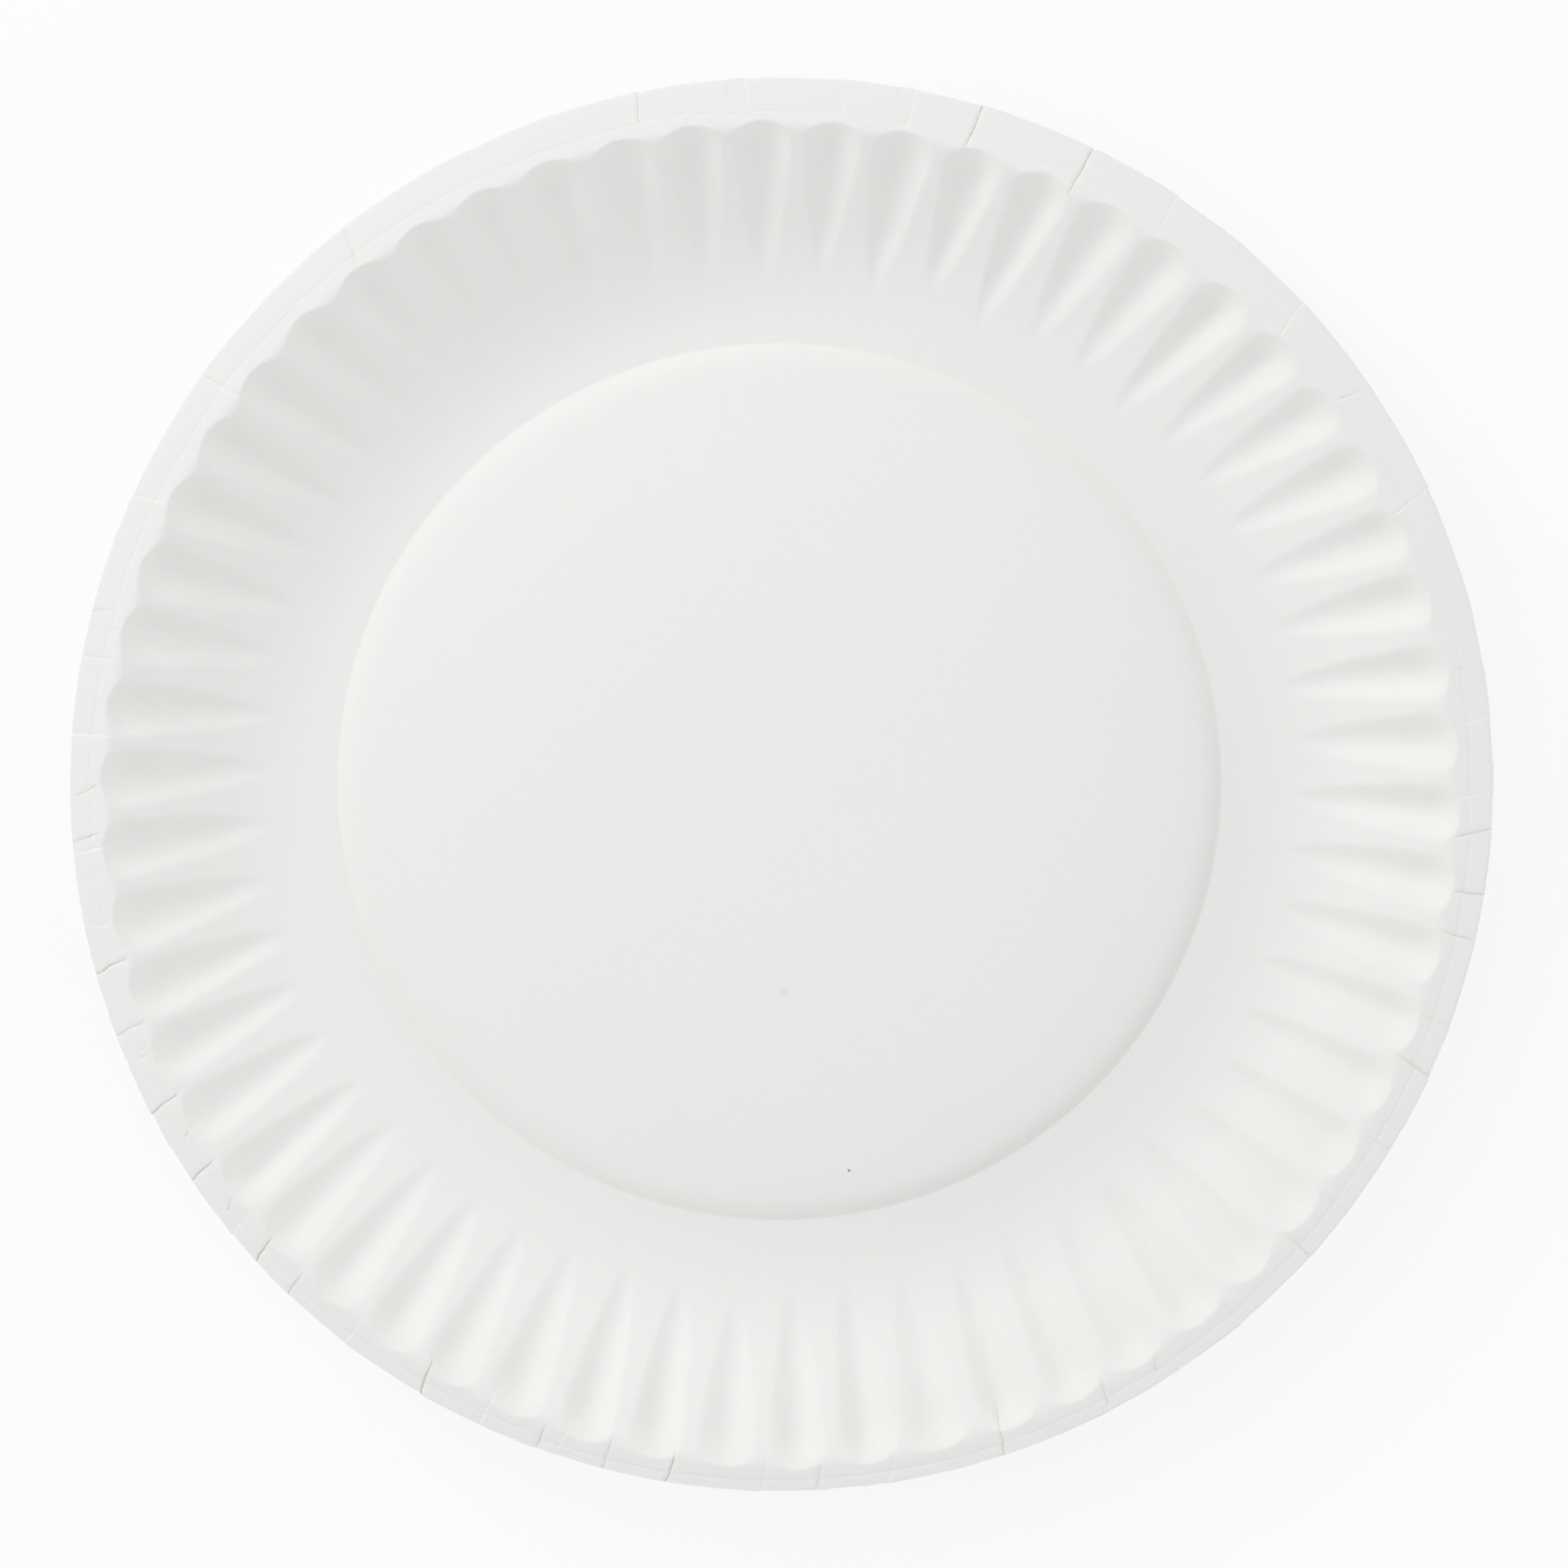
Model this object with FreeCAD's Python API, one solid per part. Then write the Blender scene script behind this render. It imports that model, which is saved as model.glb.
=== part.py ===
"""A round paper plate, pressed from one sheet of paper board.

Units are millimetres, with +Z up and the plate standing on Z = 0.
The origin lies under the middle of the cut outer edge.
The axis of the pressing dies lies a little off it, towards -Y, as the round blank sat off centre in them.
The panel is turned about that axis. The wall, flutes and rim are flat facets between rings of points.
"""
import FreeCAD, Part
import math
import os

from FreeCAD import Vector

# Board and overall sizes
BOARD_THICKNESS = 0.4
PLATE_DIAMETER = 228.6
PLATE_HEIGHT = 19.0

# How far the blank sat off the dies' axis, and towards which angle
BLANK_SHIFT = 1.62
BLANK_SHIFT_ANGLE = 81.5

# Rim: a rounded crest, a narrow land outside it, then past a crease a lip that falls to the cut edge
RIM_WIDTH = 6.0
CREST_RADIUS = 1.6
LAND_WIDTH = 2.5
LAND_SLOPE = 13.0
LIP_SLOPE = 11.0

# Wall: straight below the crest, then a sweep down to the flat ring that the plate stands on
WALL_WIDTH = 36.0
WALL_SLOPE = 37.1
FOOT_WIDTH = 1.3

# Raised middle panel: a shoulder rolled up from a sharp crease, a low dome, and a flat middle
SHOULDER_WIDTH = 4.4
SHOULDER_SLOPE = 26.0
DOME_WIDTH = 41.6
DOME_SLOPE = 4.5

# Flutes: spoon-shaped troughs that start in a round tip on the sweep and end in a lobe at the rim
FLUTE_COUNT = 58
FLUTE_ANGLE = 4.5
FLUTE_LENGTH = 23.8
FLUTE_DEPTH = 1.5
FLUTE_WIDTH = 9.6
FLUTE_WIDENING = 0.5

# How far along each flute its rings of points lie, and where it is deepest, as shares of its length
FLUTE_STATIONS = (0.15, 0.4, 0.7)
FLUTE_DEEPEST = 0.62

# Straight chords that stand for each curve of the panel's section
CHORDS = 2

# Neighbouring faces are sewn where their edges lie this close
SEAM_TOLERANCE = 0.001


class Section:
    """Radial section of the pressed sheet, in distance from the dies' axis and height.

    A depth of zero follows the upper face. A depth of one board thickness follows the underside.
    """

    def __init__(self):
        self.crest_line = PLATE_DIAMETER / 2 - RIM_WIDTH
        self.bend_line = self.crest_line + LAND_WIDTH
        self.foot = self.crest_line - WALL_WIDTH
        self.crease = self.foot - FOOT_WIDTH
        self.shoulder = self.crease - SHOULDER_WIDTH
        self.flat = self.shoulder - DOME_WIDTH
        self.wall_slope = math.radians(WALL_SLOPE)
        self.land_slope = math.radians(LAND_SLOPE)
        self.lip_slope = math.radians(LIP_SLOPE)
        self.shoulder_slope = math.radians(SHOULDER_SLOPE)
        self.dome_slope = math.radians(DOME_SLOPE)

        self.shoulder_radius = SHOULDER_WIDTH / (math.sin(self.shoulder_slope) - math.sin(self.dome_slope))
        self.shoulder_centre = (
            self.crease - self.shoulder_radius * math.sin(self.shoulder_slope),
            BOARD_THICKNESS - self.shoulder_radius * math.cos(self.shoulder_slope),
        )
        self.dome_radius = DOME_WIDTH / math.sin(self.dome_slope)
        shoulder_top = self.shoulder_centre[1] + self.shoulder_radius * math.cos(self.dome_slope)
        self.dome_centre = (self.flat, shoulder_top - self.dome_radius * math.cos(self.dome_slope))
        self.panel_height = self.dome_centre[1] + self.dome_radius

        wall_top = self.crest_line - CREST_RADIUS * math.sin(self.wall_slope)
        wall_rise = PLATE_HEIGHT - CREST_RADIUS * (1 - math.cos(self.wall_slope)) - BOARD_THICKNESS
        straight_foot = wall_top - wall_rise / math.tan(self.wall_slope)
        self.sweep_radius = (straight_foot - self.foot) / math.tan(self.wall_slope / 2)
        self.corner_line = self.corner(0, 0)[0]
        self.flute_start = self.corner_line - FLUTE_LENGTH

    def wall(self, distance, depth):
        """The sweep or the straight wall at a distance from the axis, then moved this deep, square to it."""
        share = min((distance - self.foot) / self.sweep_radius, math.sin(self.wall_slope))
        slope = math.asin(share)
        swept = self.sweep_radius * share
        height = BOARD_THICKNESS + self.sweep_radius * (1 - math.cos(slope))
        height += (distance - self.foot - swept) * math.tan(slope)
        return distance + depth * math.sin(slope), height - depth * math.cos(slope)

    def land_height(self, distance, depth):
        """Height of the land at a distance from the axis."""
        level = PLATE_HEIGHT + CREST_RADIUS * (1 / math.cos(self.land_slope) - 1)
        fall = (distance - self.crest_line) * math.tan(self.land_slope)
        return level - fall - depth / math.cos(self.land_slope)

    def corner(self, wall_depth, land_depth):
        """Where the straight wall, pushed out by one depth, meets the land, pushed down by another."""
        x, z = self.wall(self.crest_line, wall_depth)
        gap = self.land_height(x, land_depth) - z
        x += gap / (math.tan(self.wall_slope) + math.tan(self.land_slope))
        return x, self.land_height(x, land_depth)

    def crest(self, share, depth, pressed):
        """A point of the rounded crest, from 0 at the wall to 1 at the land."""
        x, z = self.corner(depth + pressed, depth)
        half_turn = (self.wall_slope + self.land_slope) / 2
        tilt = (self.wall_slope - self.land_slope) / 2
        radius = CREST_RADIUS - depth
        reach = radius / math.cos(half_turn)
        turn = half_turn * (2 * share - 1) - tilt
        return (
            x + reach * math.sin(tilt) + radius * math.sin(turn),
            z - reach * math.cos(tilt) + radius * math.cos(turn),
        )

    def bend(self, depth):
        """The bend between the land and the lip."""
        middle = (self.land_slope + self.lip_slope) / 2
        reach = depth / math.cos(middle - self.land_slope)
        height = self.land_height(self.bend_line, 0)
        return self.bend_line - reach * math.sin(middle), height - reach * math.cos(middle)

    def cut_edge(self, angle, depth):
        """The blank's round edge, off the dies' axis, at this angle about that axis."""
        turn = angle - math.radians(BLANK_SHIFT_ANGLE)
        across = BLANK_SHIFT * math.sin(turn)
        distance = BLANK_SHIFT * math.cos(turn) + math.sqrt((PLATE_DIAMETER / 2) ** 2 - across**2)
        x, z = self.bend(depth)
        return distance, z - (distance - x) * math.tan(self.lip_slope)


def flute(share):
    """Half the width of a flute and its depth in the middle, from share 0 at its tip to 1 at the rim."""
    depth = FLUTE_DEPTH * math.sin(math.pi / 2 * share / FLUTE_DEEPEST)
    return FLUTE_WIDTH / 2 * share**FLUTE_WIDENING, depth


def ring(columns):
    """Points round the whole plate.

    Each column is an angle from a flute's middle and a function of the full angle.
    """
    points = []
    for number in range(FLUTE_COUNT):
        middle = math.radians(FLUTE_ANGLE) + number * 2 * math.pi / FLUTE_COUNT
        for offset, place in columns:
            angle = middle + offset
            distance, height = place(angle)
            points.append(Vector(distance * math.cos(angle), distance * math.sin(angle), height))
    return points


def plain_ring(place):
    """A ring with one point on each ridge and one in the middle of each flute."""
    return ring([(-math.pi / FLUTE_COUNT, place), (0, place)])


def fluted_ring(place, share, spread):
    """A ring that dips into each flute. The spread lists how far out its points lie, 0 being the middle."""
    half_width, depth = flute(share)
    half_angle = half_width / place(0)[0]
    columns = []
    for side in spread:
        pressed = depth * (1 - side**2)
        columns.append((half_angle * side, lambda angle, pressed=pressed: place(pressed)))
    return ring(columns)


def flat_face(*corners):
    """A flat face between corners."""
    return Part.Face(Part.makePolygon([*corners, corners[0]]))


def panes(inner, outer):
    """Four-sided flat faces between two rings of as many points."""
    faces = []
    for number in range(len(inner)):
        previous = number - 1
        faces.append(flat_face(inner[previous], inner[number], outer[number], outer[previous]))
    return faces


def triangles(inner, outer):
    """Three-sided faces between two rings, across the shorter diagonal each time."""
    faces = []
    first, second = 0, 0
    while first < len(inner) or second < len(outer):
        a, b = inner[first % len(inner)], outer[second % len(outer)]
        next_a, next_b = inner[(first + 1) % len(inner)], outer[(second + 1) % len(outer)]
        outer_remains = second < len(outer)
        inner_is_done = first == len(inner)
        if inner_is_done or (outer_remains and a.distanceToPoint(next_b) < b.distanceToPoint(next_a)):
            faces.append(flat_face(a, b, next_b))
            second += 1
        else:
            faces.append(flat_face(a, b, next_a))
            first += 1
    return faces


def curve(centre, radius, first, last):
    """Points on a circle in the XZ plane, between two angles from straight up."""
    points = []
    for step in range(CHORDS + 1):
        turn = first + (last - first) * step / CHORDS
        points.append(Vector(centre[0] + radius * math.sin(turn), 0, centre[1] + radius * math.cos(turn)))
    return points


def panel(section, depth):
    """Faces of the middle panel, from its centre to the crease. They are cones over the section's chords."""
    dome = curve(section.dome_centre, section.dome_radius - depth, 0, section.dome_slope)
    shoulder = curve(
        section.shoulder_centre, section.shoulder_radius - depth, section.dome_slope, section.shoulder_slope
    )
    points = [Vector(0, 0, section.panel_height - depth), *dome, *shoulder[1:]]
    if depth:
        points.append(Vector(section.crease, 0, BOARD_THICKNESS - depth))
    return Part.makePolygon(points).revolve(Vector(0, 0, 0), Vector(0, 0, 1), 360).Faces


def face_of_sheet(section, depth):
    """All faces of the upper side or the underside, and the ring of points along its cut edge."""
    tip = (-1, 0, 1)
    body = (-1, -0.5, 0, 0.5, 1)
    start = section.flute_start
    foot = plain_ring(lambda angle: section.wall(section.foot, depth))
    low = plain_ring(lambda angle: section.wall((section.foot + start) / 2, depth))
    rings = [plain_ring(lambda angle: section.wall(start, depth))]
    for share in FLUTE_STATIONS:
        distance = start + share * FLUTE_LENGTH
        spread = tip if share < 0.5 else body
        rings.append(fluted_ring(lambda pressed: section.wall(distance, depth + pressed), share, spread))
    for turn in (0, 0.5, 1):
        rings.append(fluted_ring(lambda pressed: section.crest(turn, depth, pressed), 1, body))
    rings.append(plain_ring(lambda angle: section.bend(depth)))
    rings.append(plain_ring(lambda angle: section.cut_edge(angle, depth)))

    crease = Part.makeCircle(section.crease, Vector(0, 0, BOARD_THICKNESS - depth))
    outline = Part.makePolygon([*foot, foot[0]])
    faces = panel(section, depth)
    faces.append(Part.makeFace([outline, Part.Wire(crease)], "Part::FaceMakerBullseye"))
    faces += panes(foot, low) + panes(low, rings[0])
    for inner, outer in zip(rings, rings[1:]):
        faces += triangles(inner, outer)
    return faces, rings[-1]


def plate():
    """The finished sheet as one solid, moved so that its cut edge is centred on the origin."""
    section = Section()
    upper, upper_edge = face_of_sheet(section, 0)
    under, under_edge = face_of_sheet(section, BOARD_THICKNESS)
    skin = Part.Compound(upper + under + panes(upper_edge, under_edge))
    skin.sewShape(SEAM_TOLERANCE)
    sheet = Part.Solid(skin.Shells[0])
    shift_angle = math.radians(BLANK_SHIFT_ANGLE)
    sheet.translate(Vector(-BLANK_SHIFT * math.cos(shift_angle), -BLANK_SHIFT * math.sin(shift_angle), 0))
    return sheet


os.makedirs("parts", exist_ok=True)
plate().exportStep("parts/plate.step")
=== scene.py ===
"""Looks of a round paper plate, pressed from one sheet of paper board.

One closed mesh stands for the plate: rounded flutes, a rim gathered into pleats, and a cut edge with
its upper corner rounded. Sizes are in millimetres and degrees unless a comment says otherwise, and
meshes are made in metres. Radii and angles are taken about the pressing dies' axis, which lies a
little off the origin.
"""

import math

import bpy
import numpy as np
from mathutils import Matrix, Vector


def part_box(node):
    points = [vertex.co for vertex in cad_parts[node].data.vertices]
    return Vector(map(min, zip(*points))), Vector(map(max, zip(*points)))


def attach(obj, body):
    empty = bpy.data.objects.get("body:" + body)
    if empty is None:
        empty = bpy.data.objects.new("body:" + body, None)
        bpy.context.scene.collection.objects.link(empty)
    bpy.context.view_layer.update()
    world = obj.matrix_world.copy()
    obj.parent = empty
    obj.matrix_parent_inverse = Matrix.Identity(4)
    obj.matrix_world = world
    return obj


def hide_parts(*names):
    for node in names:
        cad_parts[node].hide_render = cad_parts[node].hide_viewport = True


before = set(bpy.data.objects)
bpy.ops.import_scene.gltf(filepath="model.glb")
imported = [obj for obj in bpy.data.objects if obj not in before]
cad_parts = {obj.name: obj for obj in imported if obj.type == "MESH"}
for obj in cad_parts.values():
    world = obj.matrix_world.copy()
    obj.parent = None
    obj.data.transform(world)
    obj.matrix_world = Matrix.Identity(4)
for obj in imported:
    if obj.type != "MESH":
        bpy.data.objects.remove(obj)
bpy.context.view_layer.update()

MM = 0.001
SEED = 7
random = np.random.default_rng(SEED)

# Sheet and overall sizes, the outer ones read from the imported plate
plate_low, plate_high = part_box("plate")
EDGE_RADIUS = min(plate_high.x - plate_low.x, plate_high.y - plate_low.y) / 2 / MM
BOARD = 0.4
HEIGHT = plate_high.z / MM
SHIFT_X = 0.24
SHIFT_Y = 1.602

# Section: flat middle, dome, shoulder, sharp crease, foot ring, sweep, wall, land and lip
FLAT_RADIUS = 25.0
SHOULDER_FOOT = 66.6
CREASE_RADIUS = 71.0
FOOT_RADIUS = 72.3
SWEEP_RADIUS = 32.8
DOME_SLOPE = math.radians(5.0)
SHOULDER_SLOPE = math.radians(29.0)
WALL_SLOPE = math.radians(37.1)
LAND_SLOPE = math.radians(13.0)
LIP_SLOPE = math.radians(11.0)
CREST_RADIUS = 108.3
BEND_RADIUS = 110.8

# How far the land lies under the full height at the crest, so that no pleat rises above it
CREST_DROP = 0.10

# Outside the pressing dies the board slopes more, and the pleats stop
PRESS_RADIUS = 114.25
PRESS_SLOPE = math.radians(14.0)

# Flutes: spoon-shaped troughs with round tips, which deepen outwards and end in a steeper round end
FLUTES = 58
PITCH = 2 * math.pi / FLUTES
FLUTE_PHASE = math.radians(4.65)
FLUTE_START = 83.0
FLUTE_LENGTH = 25.0
FLUTE_DEPTH = 2.4
FLUTE_HALF_WIDTH = 5.35
FLUTE_GROWTH = 0.9
FLUTE_ROUNDNESS = 1.6

# What a flute loses of its depth and of its width over its outer end, as shares
END_SHALLOWER = 0.7
END_NARROWER = 0.2

# Spread between single flutes, in share of depth, share of width, start and angle
DEPTH_SPREAD = 0.07
WIDTH_SPREAD = 0.03
START_SPREAD = 0.7
ANGLE_SPREAD = math.radians(0.13)

# Fillets between the wall and the land, in a flute's middle and on a ridge
TIGHT_FILLET = 0.3
ROUND_FILLET = 1.3

# Pleats across the rim. Each row is the angle of the outer and of the inner end in degrees, the radius
# of both, the depth of the slit, and the step up on its counterclockwise side. The places were read
# off the photo and turned into angles and radii by a program. Depths and steps are guesses.
PLEATS = (
    (2.6, 2.7, 117.0, 110.8, 0.06, 0.03),
    (6.4, 5.6, 117.0, 107.7, 0.00, -0.22),
    (10.3, 10.7, 111.9, 108.8, 0.12, 0.05),
    (14.5, 13.7, 117.0, 108.3, 0.00, -0.14),
    (25.4, 24.6, 117.0, 107.6, 0.00, -0.29),
    (30.9, 30.7, 111.1, 108.2, 0.00, -0.22),
    (31.5, 31.6, 117.0, 109.2, 0.09, -0.08),
    (34.9, 35.6, 113.4, 109.1, 0.15, -0.08),
    (37.0, 37.1, 117.0, 113.6, 0.04, 0.03),
    (43.5, 42.7, 117.0, 108.6, 0.00, -0.26),
    (50.2, 50.2, 115.3, 112.5, 0.04, 0.05),
    (56.6, 56.3, 117.0, 109.2, 0.00, -0.21),
    (64.3, 64.6, 115.1, 107.8, 0.35, 0.08),
    (67.1, 67.3, 110.5, 108.6, 0.00, -0.22),
    (73.7, 74.2, 115.2, 108.5, 0.33, 0.19),
    (79.1, 79.4, 114.3, 108.6, 0.00, -0.21),
    (80.4, 80.6, 115.4, 112.1, 0.07, 0.08),
    (84.9, 84.6, 111.9, 108.8, 0.00, -0.22),
    (92.9, 92.1, 114.9, 108.5, 0.00, -0.24),
    (94.1, 94.4, 114.8, 111.8, 0.12, 0.10),
    (97.7, 98.0, 109.8, 107.9, 0.15, 0.08),
    (101.4, 101.8, 114.8, 110.3, 0.25, 0.13),
    (104.4, 104.5, 108.7, 107.4, 0.07, 0.05),
    (108.4, 108.5, 114.7, 110.8, 0.04, 0.08),
    (115.9, 115.9, 115.3, 111.7, 0.06, 0.16),
    (116.5, 116.5, 109.6, 106.8, 0.12, 0.08),
    (127.3, 128.5, 114.1, 107.7, 0.22, -0.08),
    (131.8, 131.7, 114.1, 111.3, 0.00, 0.06),
    (143.8, 143.2, 113.9, 107.2, 0.20, 0.16),
    (155.0, 154.3, 114.1, 109.2, 0.06, 0.13),
    (157.8, 157.8, 113.6, 111.2, 0.03, 0.08),
    (159.0, 158.6, 109.2, 107.9, 0.10, 0.06),
    (164.9, 164.1, 117.0, 110.7, 0.15, -0.10),
    (165.8, 165.5, 110.5, 108.6, 0.00, -0.13),
    (168.6, 168.3, 117.0, 108.9, 0.15, 0.08),
    (175.0, 174.8, 117.0, 107.8, 0.04, 0.27),
    (180.0, 179.0, 113.1, 108.7, 0.20, -0.10),
    (183.9, 183.1, 117.0, 109.3, 0.21, -0.10),
    (184.8, 184.3, 117.0, 107.6, 0.03, 0.21),
    (187.5, 187.5, 117.0, 110.3, 0.00, 0.06),
    (190.8, 191.1, 113.1, 108.8, 0.07, 0.16),
    (193.4, 193.2, 109.1, 107.1, 0.05, 0.16),
    (194.8, 194.0, 117.0, 108.6, 0.38, -0.16),
    (198.2, 198.2, 117.0, 111.2, 0.07, 0.03),
    (200.1, 199.6, 117.0, 108.4, 0.21, -0.08),
    (201.5, 201.4, 117.0, 111.2, 0.12, 0.03),
    (202.0, 201.8, 111.5, 108.5, 0.00, 0.16),
    (202.7, 202.2, 111.9, 108.2, 0.05, 0.16),
    (207.1, 206.4, 117.0, 108.1, 0.30, -0.13),
    (210.1, 209.7, 110.3, 108.5, 0.25, 0.05),
    (213.4, 212.9, 117.0, 108.6, 0.35, -0.13),
    (214.3, 214.4, 110.4, 108.5, 0.00, 0.08),
    (217.1, 216.3, 111.1, 108.6, 0.25, -0.05),
    (218.9, 218.5, 117.0, 109.0, 0.00, 0.19),
    (221.8, 221.2, 117.0, 107.8, 0.43, -0.19),
    (225.6, 225.2, 117.0, 109.2, 0.30, -0.08),
    (231.7, 231.7, 117.0, 108.7, 0.00, 0.21),
    (239.2, 238.5, 117.0, 107.0, 0.56, -0.22),
    (244.6, 244.8, 117.0, 104.4, 0.00, 0.27),
    (249.6, 249.7, 117.0, 108.9, 0.30, -0.08),
    (251.3, 251.8, 112.0, 107.3, 0.00, 0.21),
    (255.3, 255.4, 117.0, 107.7, 0.28, -0.11),
    (260.5, 261.0, 117.0, 107.7, 0.43, -0.16),
    (268.4, 269.1, 117.0, 106.2, 0.00, 0.27),
    (272.8, 273.5, 117.0, 107.2, 0.15, -0.19),
    (274.1, 274.2, 117.0, 109.6, 0.00, 0.16),
    (276.8, 277.0, 109.9, 107.7, 0.12, 0.06),
    (278.7, 280.1, 117.0, 107.3, 0.00, 0.27),
    (283.9, 283.9, 111.3, 107.7, 0.00, 0.19),
    (286.5, 286.5, 117.0, 110.1, 0.07, -0.05),
    (288.5, 289.3, 117.0, 104.5, 0.40, -0.16),
    (292.0, 292.4, 112.2, 108.4, 0.00, 0.10),
    (298.0, 298.6, 112.4, 107.5, 0.30, -0.11),
    (302.8, 303.8, 111.4, 107.3, 0.25, -0.08),
    (304.6, 304.8, 112.5, 108.7, 0.04, -0.11),
    (310.8, 310.9, 112.5, 108.2, 0.10, 0.11),
    (318.7, 318.9, 117.0, 107.6, 0.33, 0.13),
    (323.5, 323.5, 117.0, 107.8, 0.00, 0.16),
    (329.6, 329.7, 117.0, 109.0, 0.04, 0.16),
    (331.4, 331.6, 110.1, 108.5, 0.03, -0.10),
    (336.3, 337.1, 117.0, 107.4, 0.43, 0.19),
    (340.7, 341.1, 117.0, 107.6, 0.00, 0.16),
    (348.0, 348.3, 113.7, 107.9, 0.30, 0.11),
    (351.8, 351.8, 117.0, 108.3, 0.33, 0.16),
    (357.2, 356.4, 117.0, 108.2, 0.25, 0.10),
    (360.0, 359.7, 112.9, 107.6, 0.00, -0.16),
)
SLIT_WIDTH = 0.16
PLEAT_HALF_WIDTH = 0.09

# Radius of the outer angle, for a pleat that ends outside it, and a radius typical of the pleats
PLEAT_OUTER_RADIUS = 114.2
PLEAT_MIDDLE = 112.0

# How far a pleat wanders to each side, and how fast along its length
WANDER = 0.05
WANDER_RATE = 1.9

# Crease between the land and the lip
CREASE_DEPTH = 0.08
CREASE_WIDTH = 0.14
CREASE_INSET = 0.08
CREASE_SPREAD = 0.16
CREASE_STEP_HALF_WIDTH = 0.12

# Cut edge: how far it lies inside the full radius, how oval it is, and a radius typical of it
EDGE_INSET = 0.16
EDGE_OVAL = 0.06
EDGE_LINE = 114.0

# Chords and steps of the cut edge: their size, the steps' spread and half width, and both limits
CHORD_SHARE = 0.4
CHORD_INSET = 0.1
EDGE_SPREAD = 0.07
EDGE_STEP_HALF_WIDTH = 0.1
EDGE_IN_MOST = -0.3
EDGE_OUT_MOST = 0.11

# Mesh: points round the plate on the panel, the sweep and underside, and the fluted upper side
PANEL_COLUMNS = 4 * FLUTES
PLAIN_COLUMNS = 12 * FLUTES
FLUTED_COLUMNS = 24 * FLUTES

# Radius where the fluted rows begin
FLUTED_RADIUS = 82.0

# Where rows end before the corner under the rim, reach past it, end before the crease, and go on
WALL_ROWS_END = 1.5
CREST_ROWS_END = 0.75
LAND_ROWS_END = 0.2
LIP_ROWS_START = 0.3

# First guess of the corner's radius, and how the land's fall adds to the wall's slope
CORNER_GUESS = 107.9
CORNER_EXTRA_SLOPE = 0.07
CORNER_ROUNDS = 12


def smoothstep(low, high, value):
    share = np.clip((value - low) / (high - low), 0, 1)
    return share * share * (3 - 2 * share)


def smooth_min(first, second, width):
    """The lower of two heights, with the corner between them rounded."""
    share = np.clip(0.5 + 0.5 * (second - first) / width, 0, 1)
    return second + (first - second) * share - width * share * (1 - share)


def turn_from(angle, centre):
    """Signed angle from a centre, between minus and plus half a turn."""
    return (angle - centre + math.pi) % (2 * math.pi) - math.pi


# Section

def panel_height(radius):
    """Height of the upper face inside the foot ring."""
    shoulder_curve = (CREASE_RADIUS - SHOULDER_FOOT) / (math.sin(SHOULDER_SLOPE) - math.sin(DOME_SLOPE))
    centre = CREASE_RADIUS - shoulder_curve * math.sin(SHOULDER_SLOPE)
    base = BOARD - shoulder_curve * math.cos(SHOULDER_SLOPE)
    out = np.clip(radius, SHOULDER_FOOT, CREASE_RADIUS) - centre
    shoulder = base + np.sqrt(shoulder_curve**2 - out**2)
    dome_curve = (SHOULDER_FOOT - FLAT_RADIUS) / math.sin(DOME_SLOPE)
    from_flat = np.clip(radius - FLAT_RADIUS, 0, SHOULDER_FOOT - FLAT_RADIUS)
    drop = dome_curve - np.sqrt(dome_curve**2 - from_flat**2)
    return shoulder + dome_curve * (1 - math.cos(DOME_SLOPE)) - drop


def wall_height(radius):
    """Height of the sweep and of the straight wall above it, and their slope."""
    share = np.clip((radius - FOOT_RADIUS) / SWEEP_RADIUS, 0, math.sin(WALL_SLOPE))
    slope = np.arcsin(share)
    swept = BOARD + SWEEP_RADIUS * (1 - np.cos(slope))
    return swept + (radius - FOOT_RADIUS - SWEEP_RADIUS * share) * np.tan(slope), slope


def land_height(radius):
    """Height of the land on the rim, which falls outwards."""
    return HEIGHT - CREST_DROP - (radius - CREST_RADIUS) * math.tan(LAND_SLOPE)


# Flutes

number_depth = 1 + DEPTH_SPREAD * random.standard_normal(FLUTES)
number_width = 1 + WIDTH_SPREAD * random.standard_normal(FLUTES)
number_start = START_SPREAD * random.standard_normal(FLUTES)
number_angle = ANGLE_SPREAD * random.standard_normal(FLUTES)


def flute_depth(radius, angle):
    """How deep the sheet is pressed at a place on the wall, square to the wall."""
    number = np.round((angle - FLUTE_PHASE) / PITCH).astype(int) % FLUTES
    middle = FLUTE_PHASE + number * PITCH + number_angle[number]
    start = FLUTE_START + number_start[number]
    share = np.clip((radius - start) / (FLUTE_START + FLUTE_LENGTH - start), 0, 1.15)
    half_width = FLUTE_HALF_WIDTH * number_width[number] * np.sqrt(np.maximum(share, 1e-6))
    half_width = half_width * (1 - END_NARROWER * smoothstep(0.88, 1.05, share))
    side = np.clip(turn_from(angle, middle) * radius / half_width, -1, 1)
    deep = FLUTE_DEPTH * share**FLUTE_GROWTH * (1 - END_SHALLOWER * smoothstep(0.86, 1.08, share))
    return deep * number_depth[number] * (1 - side**2) ** FLUTE_ROUNDNESS


def middle_share(angle):
    """One in a flute's middle and zero on a ridge, for the fillet under the rim."""
    away = turn_from(angle * FLUTES, FLUTE_PHASE * FLUTES) / math.pi
    return 1 - smoothstep(0.45, 0.95, np.abs(away))


# Rim

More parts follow.
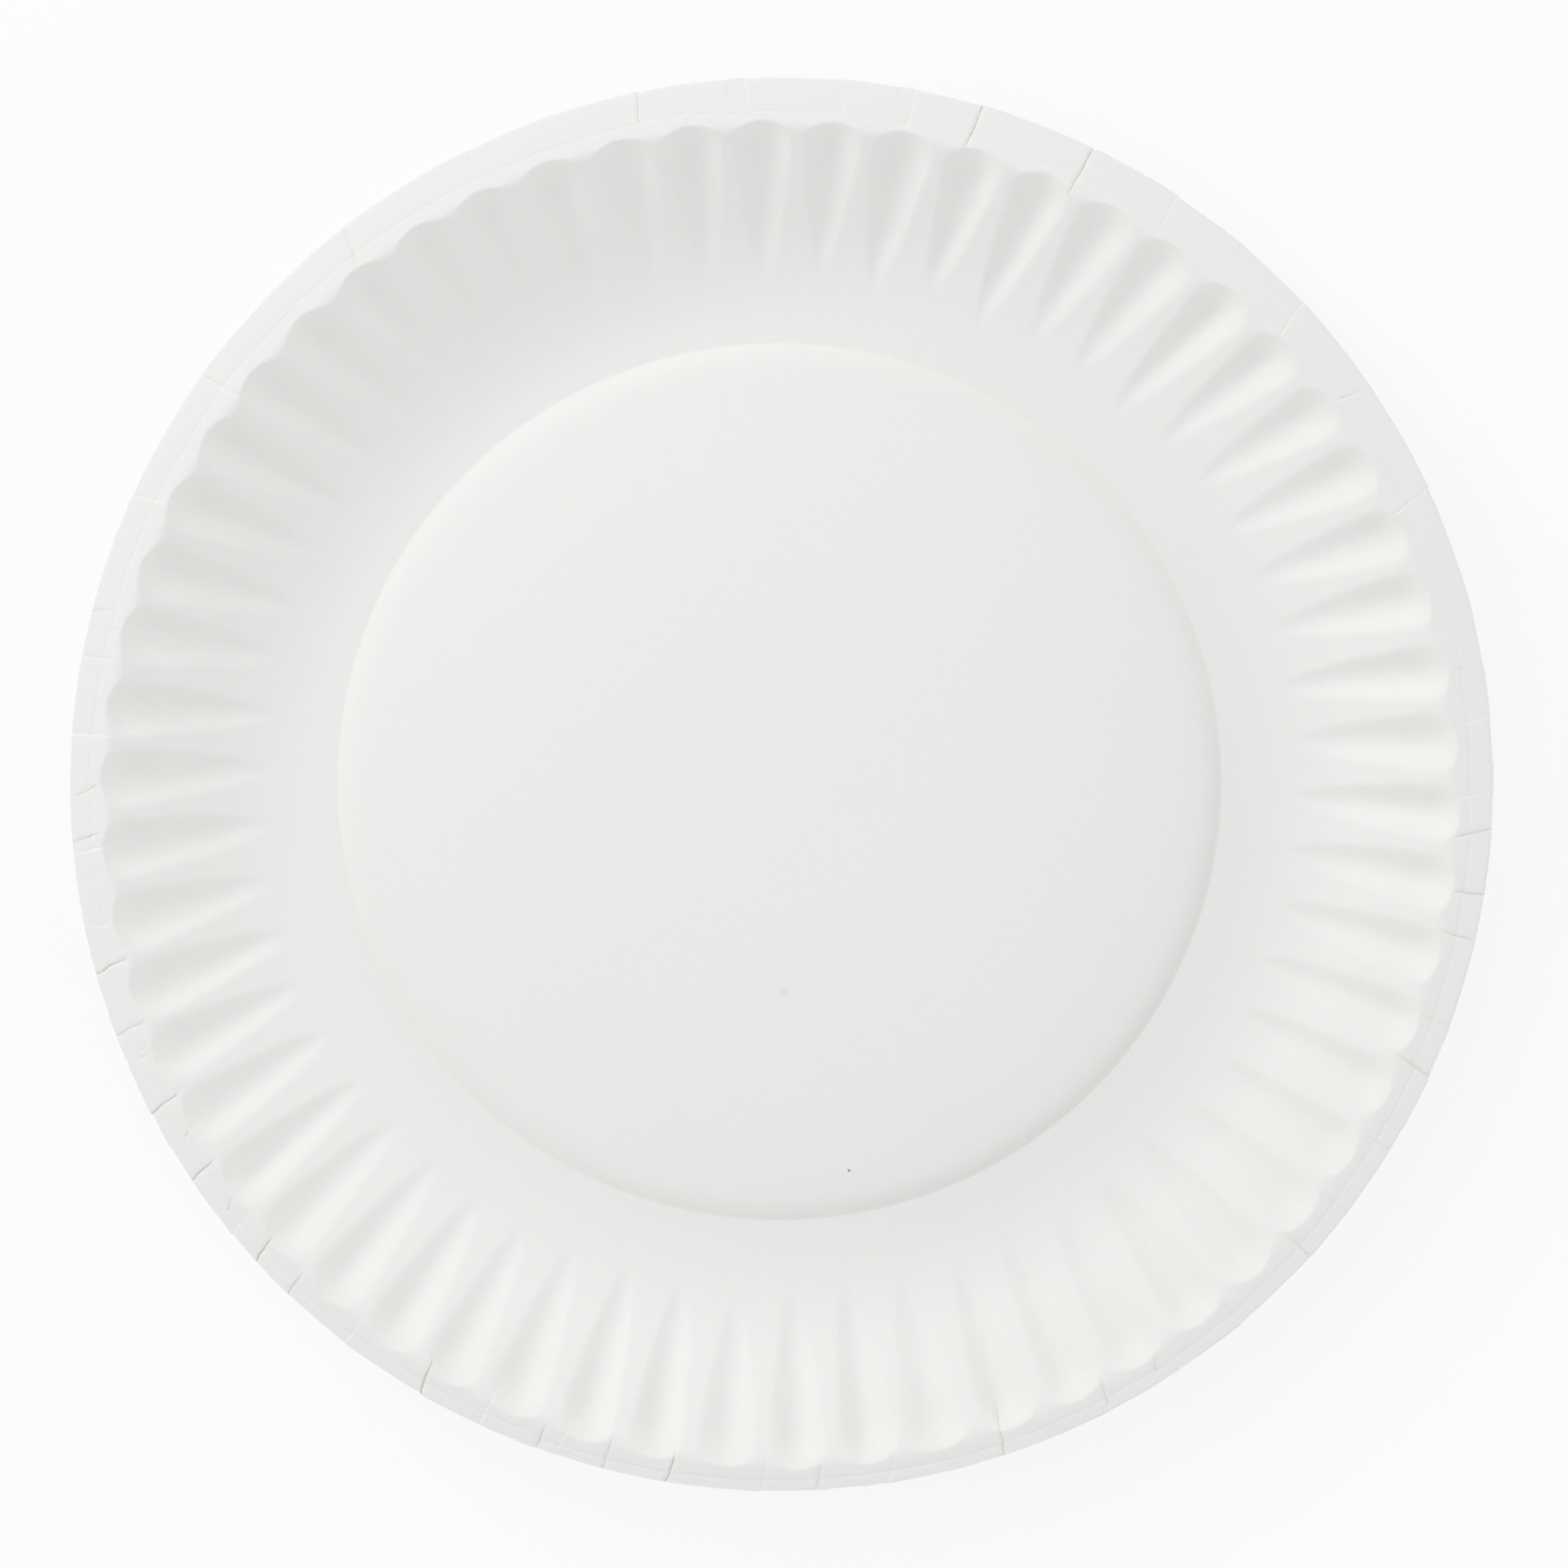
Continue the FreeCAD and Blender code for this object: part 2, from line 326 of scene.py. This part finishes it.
outer_degrees, inner_degrees, pleat_end, pleat_reach, slit_depth, pleat_step = np.array(PLEATS).T
pleat_angle = np.radians(outer_degrees)
pleat_length = np.minimum(pleat_end, PLEAT_OUTER_RADIUS) - pleat_reach
pleat_turn = np.radians(inner_degrees - outer_degrees) / pleat_length
facet_middle = pleat_angle + (np.roll(pleat_angle, -1) - pleat_angle) % (2 * math.pi) / 2
facet_bend = CREASE_SPREAD * random.standard_normal(len(PLEATS))
facet_edge = EDGE_SPREAD * random.standard_normal(len(PLEATS))


def pleat_line(radius):
    """Angles of all pleats at a radius: they lean, and wander a little."""
    inward = np.minimum(pleat_end, PLEAT_OUTER_RADIUS) - radius
    wander = WANDER * np.sin(WANDER_RATE * inward + 5 * pleat_angle)
    return pleat_angle + np.maximum(inward, 0) * pleat_turn + wander / radius


def pleat_share(radius):
    """One at the radii that each pleat crosses, and zero outside them and outside the pressed part."""
    outer = np.minimum(pleat_end, PRESS_RADIUS)
    begun = smoothstep(pleat_reach - 0.4, pleat_reach + 1.1, radius)
    return begun * (1 - smoothstep(outer - 0.5, outer + 0.3, radius))


def facets(angle, values_before, values_after, half_width, lines):
    """A value that changes evenly between pleats and jumps at each one."""
    places = np.stack([lines - half_width, lines + half_width], 1).ravel()
    values = np.stack([values_before, values_after], 1).ravel()
    return np.interp(angle, places, values, period=2 * math.pi)


def cut_radius(angle):
    """Radius of the cut edge: a slight oval off the dies' axis, with chords and small steps."""
    radius = EDGE_RADIUS - EDGE_INSET - EDGE_OVAL * np.cos(2 * angle)
    across = SHIFT_Y * np.cos(angle) - SHIFT_X * np.sin(angle)
    oval = SHIFT_X * np.cos(angle) + SHIFT_Y * np.sin(angle) + np.sqrt(radius**2 - across**2)
    lines = pleat_line(EDGE_LINE)
    step = facets(angle, -facet_edge, facet_edge, EDGE_STEP_HALF_WIDTH / EDGE_LINE, lines)
    nearest = np.argmin(np.abs(turn_from(angle[:, None], facet_middle[None, :])), 1)
    sagitta = EDGE_LINE * turn_from(angle, facet_middle[nearest]) ** 2 / 2
    uneven = step + CHORD_SHARE * (sagitta - CHORD_INSET)
    return oval + np.clip(uneven, EDGE_IN_MOST, EDGE_OUT_MOST)


def bend_radius(angle):
    """Radius of the crease along the rim: one straight stretch between each two pleats."""
    lines = pleat_line(BEND_RADIUS)
    half_width = CREASE_STEP_HALF_WIDTH / BEND_RADIUS
    offset = facets(angle, np.roll(facet_bend, 1), facet_bend, half_width, lines)
    nearest = np.argmin(np.abs(turn_from(angle[:, None], facet_middle[None, :])), 1)
    sagitta = BEND_RADIUS * (1 - np.cos(turn_from(angle, facet_middle[nearest])))
    return BEND_RADIUS + offset + sagitta - CREASE_INSET


def surface(radius, angle, bend, fine=True):
    """Height of the upper face from the foot ring outwards."""
    wall, slope = wall_height(radius)
    wall = wall - flute_depth(radius, angle) / np.cos(slope)
    fillet = ROUND_FILLET + (TIGHT_FILLET - ROUND_FILLET) * middle_share(angle)
    height = smooth_min(wall, land_height(radius), fillet)
    lip = land_height(bend) - (radius - bend) * math.tan(LIP_SLOPE)
    lip = lip - np.maximum(radius - PRESS_RADIUS, 0) * (math.tan(PRESS_SLOPE) - math.tan(LIP_SLOPE))
    height = np.where(radius > bend, lip, height)
    if not fine:
        return height
    lines = pleat_line(radius.mean())
    step = pleat_step / 2 * pleat_share(radius.mean())
    height += facets(angle, -step, step, PLEAT_HALF_WIDTH / PLEAT_MIDDLE, lines)
    height -= CREASE_DEPTH * np.exp(-(((radius - bend) / CREASE_WIDTH) ** 2))
    for place, depth in zip(lines, slit_depth * pleat_share(radius.mean())):
        away = turn_from(angle, place) * radius
        near = np.abs(away) < 1
        height[near] -= depth * np.exp(-((away[near] / SLIT_WIDTH) ** 2))
    return height


# Rings of points

def even_angles(count):
    return np.arange(count) * 2 * math.pi / count


def gathered_angles(radius):
    """Angles for a fluted ring, drawn together near the pleats as the ring nears the rim."""
    even = even_angles(FLUTED_COLUMNS)
    gather = smoothstep(104.0, 108.0, radius)
    if gather == 0:
        return even
    fine = np.linspace(0, 2 * math.pi, 40001)
    density = np.ones_like(fine)
    for place in pleat_line(radius):
        away = turn_from(fine, place) * radius
        density += gather * (3.2 * np.exp(-((away / 0.32) ** 2)) - 0.34 * np.exp(-((away / 3.0) ** 2)))
    density = np.maximum(density, 0.35)
    total = np.concatenate([[0], np.cumsum((density[1:] + density[:-1]) / 2)])
    total *= 2 * math.pi / total[-1]
    return np.interp(even, total, fine)


def place(radius, angle, height):
    """Points from radii, angles and heights about the dies' axis, in metres about the origin."""
    return np.stack([radius * np.cos(angle) - SHIFT_X, radius * np.sin(angle) - SHIFT_Y, height], 1) * MM


def corner_radius(angle):
    """Where the wall would meet the land, which follows the flutes' round ends."""
    radius = np.full_like(angle, CORNER_GUESS)
    for _ in range(CORNER_ROUNDS):
        wall, slope = wall_height(radius)
        wall = wall - flute_depth(radius, angle) / np.cos(slope)
        radius += (land_height(radius) - wall) / (math.tan(WALL_SLOPE) + CORNER_EXTRA_SLOPE)
    return radius


def row_radius(row, angle):
    """Radius of a fluted row at each angle. A row names a part of the section and a place there."""
    corner = corner_radius(angle)
    bend = bend_radius(angle)
    edge = cut_radius(angle)
    kind, value = row
    if kind == "wall":
        return FLUTED_RADIUS + (corner - WALL_ROWS_END - FLUTED_RADIUS) * value
    if kind == "crest":
        return corner + value
    if kind == "land":
        inner = corner + CREST_ROWS_END
        return inner + (bend - LAND_ROWS_END - inner) * value
    if kind == "bend":
        return bend + value
    return bend + LIP_ROWS_START + (edge - bend - LIP_ROWS_START) * value


UPPER_ROWS = (
    [("wall", share) for share in np.linspace(0, 1, 20)]
    + [("crest", offset) for offset in (-1.1, -0.75, -0.45, -0.2, 0.02, 0.25, 0.48, 0.75)]
    + [("land", share) for share in (0.33, 0.67, 1.0)]
    + [("bend", offset) for offset in (-0.07, 0.06, 0.18, 0.3)]
    + [("lip", share) for share in (0.18, 0.4, 0.62, 0.82, 0.97)]
)
UNDER_ROWS = (
    [("wall", share) for share in np.linspace(0, 1, 14)]
    + [("crest", offset) for offset in (-0.8, -0.3, 0.1, 0.5)]
    + [("land", share) for share in (0.3, 0.9)]
    + [("bend", offset) for offset in (0.1,)]
    + [("lip", share) for share in (0.3, 0.65, 1.0)]
)


def fluted_ring(row, angle, fine=True):
    radius = row_radius(row, angle)
    return radius, surface(radius, angle, bend_radius(angle), fine)


def upper_ring(row):
    """A ring on the upper face, its points gathered at the pleats."""
    typical = float(np.mean(row_radius(row, even_angles(PLAIN_COLUMNS))))
    angle = gathered_angles(typical)
    radius, height = fluted_ring(row, angle)
    return angle, place(radius, angle, height)


def under_ring(row):
    """A ring on the underside, one board thickness from the upper face, square to it."""
    angle = even_angles(PLAIN_COLUMNS)
    radius, height = fluted_ring(row, angle, fine=False)
    bend = bend_radius(angle)
    reach = 0.05
    turn = reach / radius
    along = surface(radius + reach, angle, bend, False) - surface(radius - reach, angle, bend, False)
    along = along / (2 * reach)
    round_it = surface(radius, angle + turn, bend, False) - surface(radius, angle - turn, bend, False)
    round_it = round_it / (2 * reach)
    length = np.sqrt(1 + along**2 + round_it**2)
    radius = radius + BOARD * along / length
    angle = angle + BOARD * round_it / length / radius
    return angle, place(radius, angle, height - BOARD / length)


def turned_ring(radius, height, count):
    angle = even_angles(count)
    return angle, place(np.full(count, radius), angle, np.full(count, height))


def turned_rings(radii, depth, count):
    """Rings of the turned part of the plate, on the upper face or a depth below it."""
    rings = []
    for radius in radii:
        inside = radius <= CREASE_RADIUS
        height_at = panel_height if inside else (lambda value: wall_height(value)[0])
        inner = max(radius - 0.01, 0.0)
        outer = min(radius + 0.01, CREASE_RADIUS) if inside else radius + 0.01
        slope = (height_at(outer) - height_at(inner)) / (outer - inner)
        length = math.sqrt(1 + slope**2)
        out = radius + depth * slope / length
        rings.append(turned_ring(out, float(height_at(radius)) - depth / length, count))
    return rings


PANEL_RADII = (14, 20, 26, 32, 38, 44, 50, 56, 61, 65, 66.6, 67.6, 68.5, 69.3, 70.0, 70.6, 71.0)
SWEEP_RADII = (74.5, 77.0, 79.5)


def upper_rings():
    rings = turned_rings((3, 8), 0, FLUTES)
    rings += turned_rings(PANEL_RADII + (71.12, 71.6, FOOT_RADIUS), 0, PANEL_COLUMNS)
    rings += turned_rings(SWEEP_RADII, 0, PLAIN_COLUMNS)
    rings += [upper_ring(row) for row in UPPER_ROWS]
    return rings


def edge_rings():
    """The rounded upper corner of the cut edge."""
    angle = gathered_angles(EDGE_LINE)
    edge = cut_radius(angle)
    height = surface(edge, angle, bend_radius(angle))
    return [
        (angle, place(edge - 0.02, angle, height - 0.05)),
        (angle, place(edge, angle, height - 0.13)),
    ]


def under_rings():
    rings = turned_rings((4,), BOARD, FLUTES)
    rings += turned_rings((14, 26, 38, 50, 60, 66.6, 68.0, 69.4, 70.4), BOARD, PANEL_COLUMNS)
    rings.append(turned_ring(CREASE_RADIUS - 0.15, 0.03, PANEL_COLUMNS))
    rings.append(turned_ring(CREASE_RADIUS, 0.0, PANEL_COLUMNS))
    rings += turned_rings((FOOT_RADIUS,), BOARD, PANEL_COLUMNS)
    rings += turned_rings((75.0, 78.5), BOARD, PLAIN_COLUMNS)
    rings += [under_ring(row) for row in UNDER_ROWS]
    return rings


# Mesh

def bridge(inner, outer, inner_first, outer_first):
    """Faces between two rings, given as their angles and the number of each one's first point."""
    if len(inner) == len(outer):
        here = np.arange(len(inner))
        following = np.roll(here, -1)
        quads = np.stack([
            inner_first + here, outer_first + here, outer_first + following, inner_first + following
        ], 1)
        return quads.tolist()
    faces = []
    inner_turn = np.append(inner, inner[0] + 2 * math.pi)
    outer_turn = np.append(outer, outer[0] + 2 * math.pi)
    here, there = 0, 0
    while here < len(inner) or there < len(outer):
        inner_corner = inner_first + here % len(inner)
        outer_corner = outer_first + there % len(outer)
        outer_left = there < len(outer)
        if here == len(inner) or (outer_left and outer_turn[there + 1] <= inner_turn[here + 1]):
            there += 1
            faces.append((inner_corner, outer_corner, outer_first + there % len(outer)))
        else:
            here += 1
            faces.append((inner_corner, outer_corner, inner_first + here % len(inner)))
    return faces


def build_sheet():
    """The whole sheet as one closed mesh, from the upper face's middle round to the underside's."""
    rings = upper_rings() + edge_rings() + under_rings()[::-1]
    top = place(np.zeros(1), np.zeros(1), panel_height(np.zeros(1)))
    bottom = place(np.zeros(1), np.zeros(1), panel_height(np.zeros(1)) - BOARD)
    points = np.concatenate([top] + [ring[1] for ring in rings] + [bottom])
    first = [1]
    for ring in rings:
        first.append(first[-1] + len(ring[0]))
    faces = []
    count = len(rings[0][0])
    faces += [(0, 1 + number, 1 + (number + 1) % count) for number in range(count)]
    for number in range(len(rings) - 1):
        faces += bridge(rings[number][0], rings[number + 1][0], first[number], first[number + 1])
    count = len(rings[-1][0])
    last = first[-2]
    faces += [(first[-1], last + (number + 1) % count, last + number) for number in range(count)]
    mesh = bpy.data.meshes.new("paper_plate")
    mesh.from_pydata(points.tolist(), [], faces)
    mesh.shade_smooth()
    mesh.set_sharp_from_angle(angle=math.radians(50))
    mesh.update()
    return mesh


# Materials

def new_material(name):
    material = bpy.data.materials.new(name)
    material.use_nodes = True
    material.node_tree.nodes.clear()
    return material, material.node_tree.nodes, material.node_tree.links


def spot(nodes, links, position, centre, radius, softness):
    """One inside a spot of this radius about a centre, falling to zero outside it. All in metres."""
    distance = nodes.new("ShaderNodeVectorMath")
    distance.operation = "DISTANCE"
    distance.inputs[1].default_value = centre
    links.new(position, distance.inputs[0])
    inside = nodes.new("ShaderNodeMapRange")
    inside.interpolation_type = "SMOOTHSTEP"
    inside.inputs["From Min"].default_value = radius - softness
    inside.inputs["From Max"].default_value = radius + softness
    inside.inputs["To Min"].default_value = 1.0
    inside.inputs["To Max"].default_value = 0.0
    links.new(distance.outputs["Value"], inside.inputs["Value"])
    return inside.outputs["Result"]


def mixed_colour(nodes, links, share, first, second):
    mix = nodes.new("ShaderNodeMix")
    mix.data_type = "RGBA"
    links.new(share, mix.inputs["Factor"])
    for socket, value in ((mix.inputs[6], first), (mix.inputs[7], second)):
        if isinstance(value, tuple):
            socket.default_value = value
        else:
            links.new(value, socket)
    return mix.outputs[2]


def stretched_noise(nodes, links, position, across, along, detail, roughness):
    """Noise drawn out along the plate's x axis, as the node scales it before it turns it."""
    mapping = nodes.new("ShaderNodeMapping")
    mapping.inputs["Rotation"].default_value = (0, 0, math.radians(-48))
    mapping.inputs["Scale"].default_value = (1 / along, 1 / across, 1 / across)
    links.new(position, mapping.inputs["Vector"])
    noise = nodes.new("ShaderNodeTexNoise")
    noise.inputs["Scale"].default_value = 1.0
    noise.inputs["Detail"].default_value = detail
    noise.inputs["Roughness"].default_value = roughness
    links.new(mapping.outputs["Vector"], noise.inputs["Vector"])
    return noise.outputs["Fac"]


# Marks on the board, in metres
SPECK_PLACE = (0.01093, -0.0644, 0.0021)
SPECK_RADIUS = 0.00024
SPECK_SOFTNESS = 0.00008
SPECK_COLOUR = (0.25, 0.25, 0.25, 1)
STAIN_PLACE = (0.00035, -0.03545, 0.0031)
STAIN_RADIUS = 0.0007
STAIN_STRENGTH = 0.35
STAIN_COLOUR = (0.66, 0.66, 0.66, 1)

# Board: the two colours of its fibres, and that of its clouds
FIBRE_LIGHT = (0.895, 0.895, 0.878, 1)
FIBRE_DARK = (0.855, 0.855, 0.840, 1)
CLOUD_COLOUR = (0.872, 0.872, 0.855, 1)


def paper_board():
    """Uncoated white board: faint cloudiness and fibres, a dull tooth, and two small marks."""
    material, nodes, links = new_material("paper_board_white")
    output = nodes.new("ShaderNodeOutputMaterial")
    shader = nodes.new("ShaderNodeBsdfPrincipled")
    links.new(shader.outputs["BSDF"], output.inputs["Surface"])
    shader.inputs["Roughness"].default_value = 0.85
    shader.inputs["Specular IOR Level"].default_value = 0.25
    position = nodes.new("ShaderNodeTexCoord").outputs["Object"]

    fibres = stretched_noise(nodes, links, position, 0.0006, 0.0014, 3, 0.6)
    clouds = stretched_noise(nodes, links, position, 0.012, 0.016, 2, 0.5)
    grain = mixed_colour(nodes, links, fibres, FIBRE_LIGHT, FIBRE_DARK)
    cloud_share = nodes.new("ShaderNodeMapRange")
    cloud_share.inputs["From Min"].default_value = 0.35
    cloud_share.inputs["From Max"].default_value = 0.65
    cloud_share.inputs["To Max"].default_value = 0.5
    links.new(clouds, cloud_share.inputs["Value"])
    colour = mixed_colour(nodes, links, cloud_share.outputs["Result"], grain, CLOUD_COLOUR)

    speck = spot(nodes, links, position, SPECK_PLACE, SPECK_RADIUS, SPECK_SOFTNESS)
    stain = spot(nodes, links, position, STAIN_PLACE, STAIN_RADIUS, STAIN_RADIUS)
    faint = nodes.new("ShaderNodeMath")
    faint.operation = "MULTIPLY"
    faint.inputs[1].default_value = STAIN_STRENGTH
    links.new(stain, faint.inputs[0])
    colour = mixed_colour(nodes, links, faint.outputs["Value"], colour, STAIN_COLOUR)
    colour = mixed_colour(nodes, links, speck, colour, SPECK_COLOUR)
    links.new(colour, shader.inputs["Base Color"])

    bump = nodes.new("ShaderNodeBump")
    bump.inputs["Strength"].default_value = 0.35
    bump.inputs["Distance"].default_value = 0.00006
    links.new(fibres, bump.inputs["Height"])
    links.new(bump.outputs["Normal"], shader.inputs["Normal"])
    return material


def white_seen(nodes, links):
    """One for rays that see the surroundings directly, in a mirror or through glass."""
    path = nodes.new("ShaderNodeLightPath")
    total = path.outputs["Is Camera Ray"]
    for name in ("Is Glossy Ray", "Is Transmission Ray"):
        add = nodes.new("ShaderNodeMath")
        add.operation = "ADD"
        add.use_clamp = True
        links.new(total, add.inputs[0])
        links.new(path.outputs[name], add.inputs[1])
        total = add.outputs["Value"]
    return total


def floor_white():
    """A pale floor that keeps the shadow and looks white. It is clear from below."""
    material, nodes, links = new_material("floor_white")
    output = nodes.new("ShaderNodeOutputMaterial")
    diffuse = nodes.new("ShaderNodeBsdfDiffuse")
    diffuse.inputs["Color"].default_value = (0.9, 0.9, 0.9, 1)
    glow = nodes.new("ShaderNodeEmission")
    glow.inputs["Strength"].default_value = 1.0
    share = nodes.new("ShaderNodeMath")
    share.operation = "MULTIPLY"
    share.inputs[1].default_value = FLOOR_GLOW
    links.new(white_seen(nodes, links), share.inputs[0])
    mix = nodes.new("ShaderNodeMixShader")
    links.new(share.outputs["Value"], mix.inputs["Fac"])
    links.new(diffuse.outputs["BSDF"], mix.inputs[1])
    links.new(glow.outputs["Emission"], mix.inputs[2])
    clear = nodes.new("ShaderNodeBsdfTransparent")
    side = nodes.new("ShaderNodeNewGeometry")
    sided = nodes.new("ShaderNodeMixShader")
    links.new(side.outputs["Backfacing"], sided.inputs["Fac"])
    links.new(mix.outputs["Shader"], sided.inputs[1])
    links.new(clear.outputs["BSDF"], sided.inputs[2])
    links.new(sided.outputs["Shader"], output.inputs["Surface"])
    return material


# Light and camera

FLOOR_GLOW = 0.85
AMBIENT = 0.14
LAMP_DISTANCE = 1.6

# Soft round lamps: name, azimuth, elevation, power in watts and diameter in metres
LAMPS = (
    ("key_high", 135, 60, 7.4, 1.2),
    ("key_low", 135, 30, 6.9, 0.5),
    ("back", 90, 35, 4.3, 1.2),
    ("left_high", 180, 35, 3.7, 1.2),
    ("front_right", 315, 35, 6.5, 1.2),
    ("right", 0, 15, 3.8, 0.8),
    ("back_right", 45, 15, 3.1, 0.8),
    ("left", 180, 15, 0.5, 0.8),
    ("front_left", 225, 15, 2.5, 0.8),
    ("front", 270, 15, 2.9, 0.8),
    ("low_front_right", 315, 15, 2.2, 0.8),
)


def light_scene():
    """An even pale surround, and soft lamps all round. The two strongest are behind and to the left."""
    world = bpy.data.worlds.new("studio")
    bpy.context.scene.world = world
    world.use_nodes = True
    nodes, links = world.node_tree.nodes, world.node_tree.links
    nodes.clear()
    output = nodes.new("ShaderNodeOutputWorld")
    ambient = nodes.new("ShaderNodeBackground")
    ambient.inputs["Strength"].default_value = AMBIENT
    white = nodes.new("ShaderNodeBackground")
    white.inputs["Color"].default_value = (1, 1, 1, 1)
    ambient.inputs["Color"].default_value = (1, 1, 1, 1)
    mix = nodes.new("ShaderNodeMixShader")
    links.new(white_seen(nodes, links), mix.inputs["Fac"])
    links.new(ambient.outputs["Background"], mix.inputs[1])
    links.new(white.outputs["Background"], mix.inputs[2])
    links.new(mix.outputs["Shader"], output.inputs["Surface"])

    for name, azimuth, elevation, power, size in LAMPS:
        lamp = bpy.data.lights.new(name, "AREA")
        lamp.shape = "DISK"
        lamp.size = size
        lamp.energy = power
        lamp_object = bpy.data.objects.new(name, lamp)
        level = math.cos(math.radians(elevation))
        direction = Vector((
            math.cos(math.radians(azimuth)) * level,
            math.sin(math.radians(azimuth)) * level,
            math.sin(math.radians(elevation)),
        ))
        lamp_object.location = direction * LAMP_DISTANCE
        lamp_object.rotation_euler = direction.to_track_quat("Z", "Y").to_euler()
        bpy.context.collection.objects.link(lamp_object)


CAMERA_TILT = math.radians(7.2)
CAMERA_SIDE_TILT = math.radians(0.45)
CAMERA_LENS = 1200.0
SENSOR = 36.0
FRAME_WIDTH = 0.2518
CAMERA_TARGET = Vector((0.000509, -0.002021, 0))


def make_camera():
    """The photograph's camera: far off, nearly overhead, a little towards the top of the picture."""
    camera = bpy.data.cameras.new("camera")
    camera.lens = CAMERA_LENS
    camera.sensor_width = SENSOR
    camera.clip_end = 50
    camera_object = bpy.data.objects.new("camera", camera)
    back = Vector((
        -math.sin(CAMERA_SIDE_TILT) * math.cos(CAMERA_TILT),
        math.sin(CAMERA_TILT),
        math.cos(CAMERA_SIDE_TILT) * math.cos(CAMERA_TILT),
    ))
    camera_object.location = CAMERA_TARGET + back * (FRAME_WIDTH * CAMERA_LENS / SENSOR)
    camera_object.rotation_euler = (-CAMERA_TILT, -CAMERA_SIDE_TILT, 0)
    bpy.context.collection.objects.link(camera_object)
    bpy.context.scene.camera = camera_object


def add_object(name, mesh, material):
    mesh.materials.append(material)
    thing = bpy.data.objects.new(name, mesh)
    bpy.context.collection.objects.link(thing)
    return thing


make_camera()
light_scene()

plate = add_object("paper_plate", build_sheet(), paper_board())
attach(plate, "root")
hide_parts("plate")

# Floor, in metres: half its width, and how far it lies under the plate
FLOOR_HALF = 8.0
FLOOR_GAP = 0.00005
floor_corners = [
    (-FLOOR_HALF, -FLOOR_HALF, -FLOOR_GAP),
    (FLOOR_HALF, -FLOOR_HALF, -FLOOR_GAP),
    (FLOOR_HALF, FLOOR_HALF, -FLOOR_GAP),
    (-FLOOR_HALF, FLOOR_HALF, -FLOOR_GAP),
]
floor_mesh = bpy.data.meshes.new("floor")
floor_mesh.from_pydata(floor_corners, [], [(0, 1, 2, 3)])
add_object("floor", floor_mesh, floor_white())

bpy.context.scene.view_settings.view_transform = "Standard"
